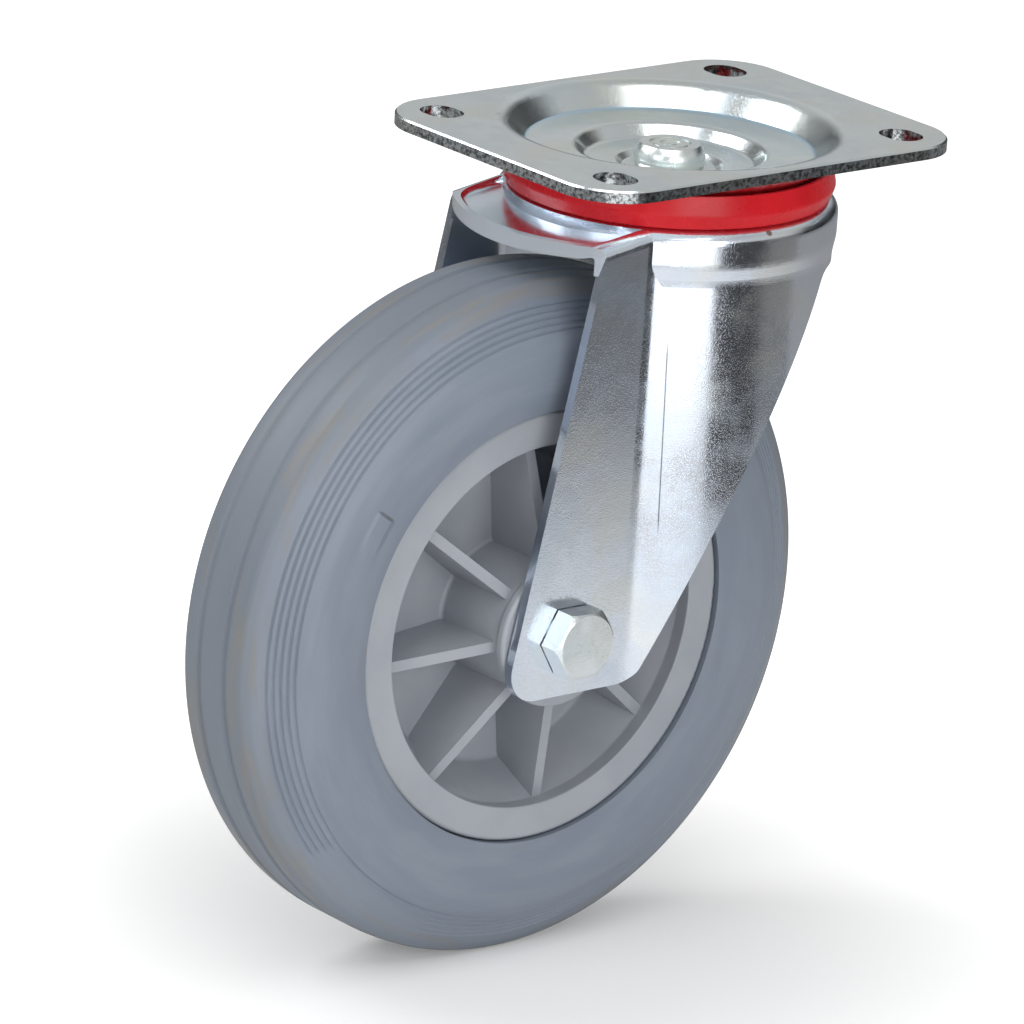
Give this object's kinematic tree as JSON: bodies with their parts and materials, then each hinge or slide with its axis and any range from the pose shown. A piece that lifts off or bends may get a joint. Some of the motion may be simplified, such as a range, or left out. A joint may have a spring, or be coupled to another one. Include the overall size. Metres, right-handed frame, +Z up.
{
  "type": "swivel castor",
  "caption": "Plate-mounted swivel castor: slotted top plate on a ball-raced swivel head, pressed fork, and a grey rubber-tyred wheel on a roller bearing.",
  "frame": {"origin": "centre of the top plate's mounting face, on the swivel axis", "axes": "+Z up out of the mounting face along the swivel axis; +Y the direction of travel, so the wheel trails on the -Y side at rest; the axle lies along X with the bolt head at +X"},
  "size_m": [0.106, 0.2215, 0.235],
  "materials": {
    "plate_zinc": "dull zinc plate with faint blue and yellow tints",
    "fork_zinc": "bright zinc plate",
    "pin_zinc": "turned and zinc plated",
    "bolt_zinc": "bright zinc plate",
    "ball_steel": "ground bearing steel",
    "seal_red": "glossy red",
    "insert_nylon": "natural nylon",
    "tyre_rubber": "grey moulded rubber, slightly soiled",
    "wheel_plastic": "light grey moulded plastic",
    "cage_plastic": "dark moulded plastic"
  },
  "bodies": {
    "plate": {"top_plate": "plate_zinc", "king_pin": "pin_zinc", "upper_balls": "ball_steel", "lower_balls": "ball_steel", "lower_race": "plate_zinc"},
    "fork": {"fork": "fork_zinc", "dust_seal": "seal_red", "axle_bolt": "bolt_zinc", "nut_washer": "bolt_zinc", "axle_nut": "bolt_zinc", "nut_insert": "insert_nylon", "axle_sleeve": "ball_steel"},
    "wheel": {"tyre": "tyre_rubber", "wheel_centre": "wheel_plastic", "bearing_shell": "ball_steel", "roller_cage": "cage_plastic", "rollers": "ball_steel", "near_hub_seal": "cage_plastic", "far_hub_seal": "cage_plastic"}
  },
  "joints": [
    {"name": "swivel", "type": "hinge", "parent": "plate", "child": "fork", "pos_m": [0, 0, 0], "axis": [0, 0, 1], "continuous": true},
    {"name": "wheel_spin", "type": "hinge", "parent": "fork", "child": "wheel", "pos_m": [0, -0.054, -0.135], "axis": [1, 0, 0], "continuous": true}
  ]
}
